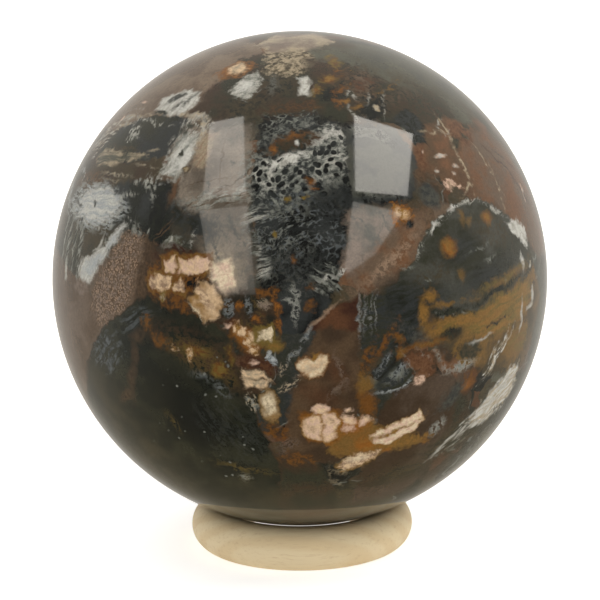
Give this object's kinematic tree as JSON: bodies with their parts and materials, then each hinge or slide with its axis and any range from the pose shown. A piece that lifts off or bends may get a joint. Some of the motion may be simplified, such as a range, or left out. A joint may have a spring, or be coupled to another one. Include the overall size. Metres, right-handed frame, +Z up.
{
  "type": "decorative sphere",
  "caption": "Solid polished stone sphere resting in a turned wooden ring that keeps it from rolling.",
  "frame": {"origin": "on the surface the ring stands on, under the middle of the sphere", "axes": "+Z up through the middles of the ring and the sphere, -Y towards the viewer, +X to the viewer's right"},
  "size_m": [0.1, 0.1, 0.1057],
  "materials": {
    "polished_stone": "high polish, brecciated dark, brown, golden and cream pattern",
    "turned_wood": "bare pale wood, sanded, satin"
  },
  "bodies": {
    "root": {"stone_sphere": "polished_stone", "wooden_ring": "turned_wood"}
  },
  "joints": []
}
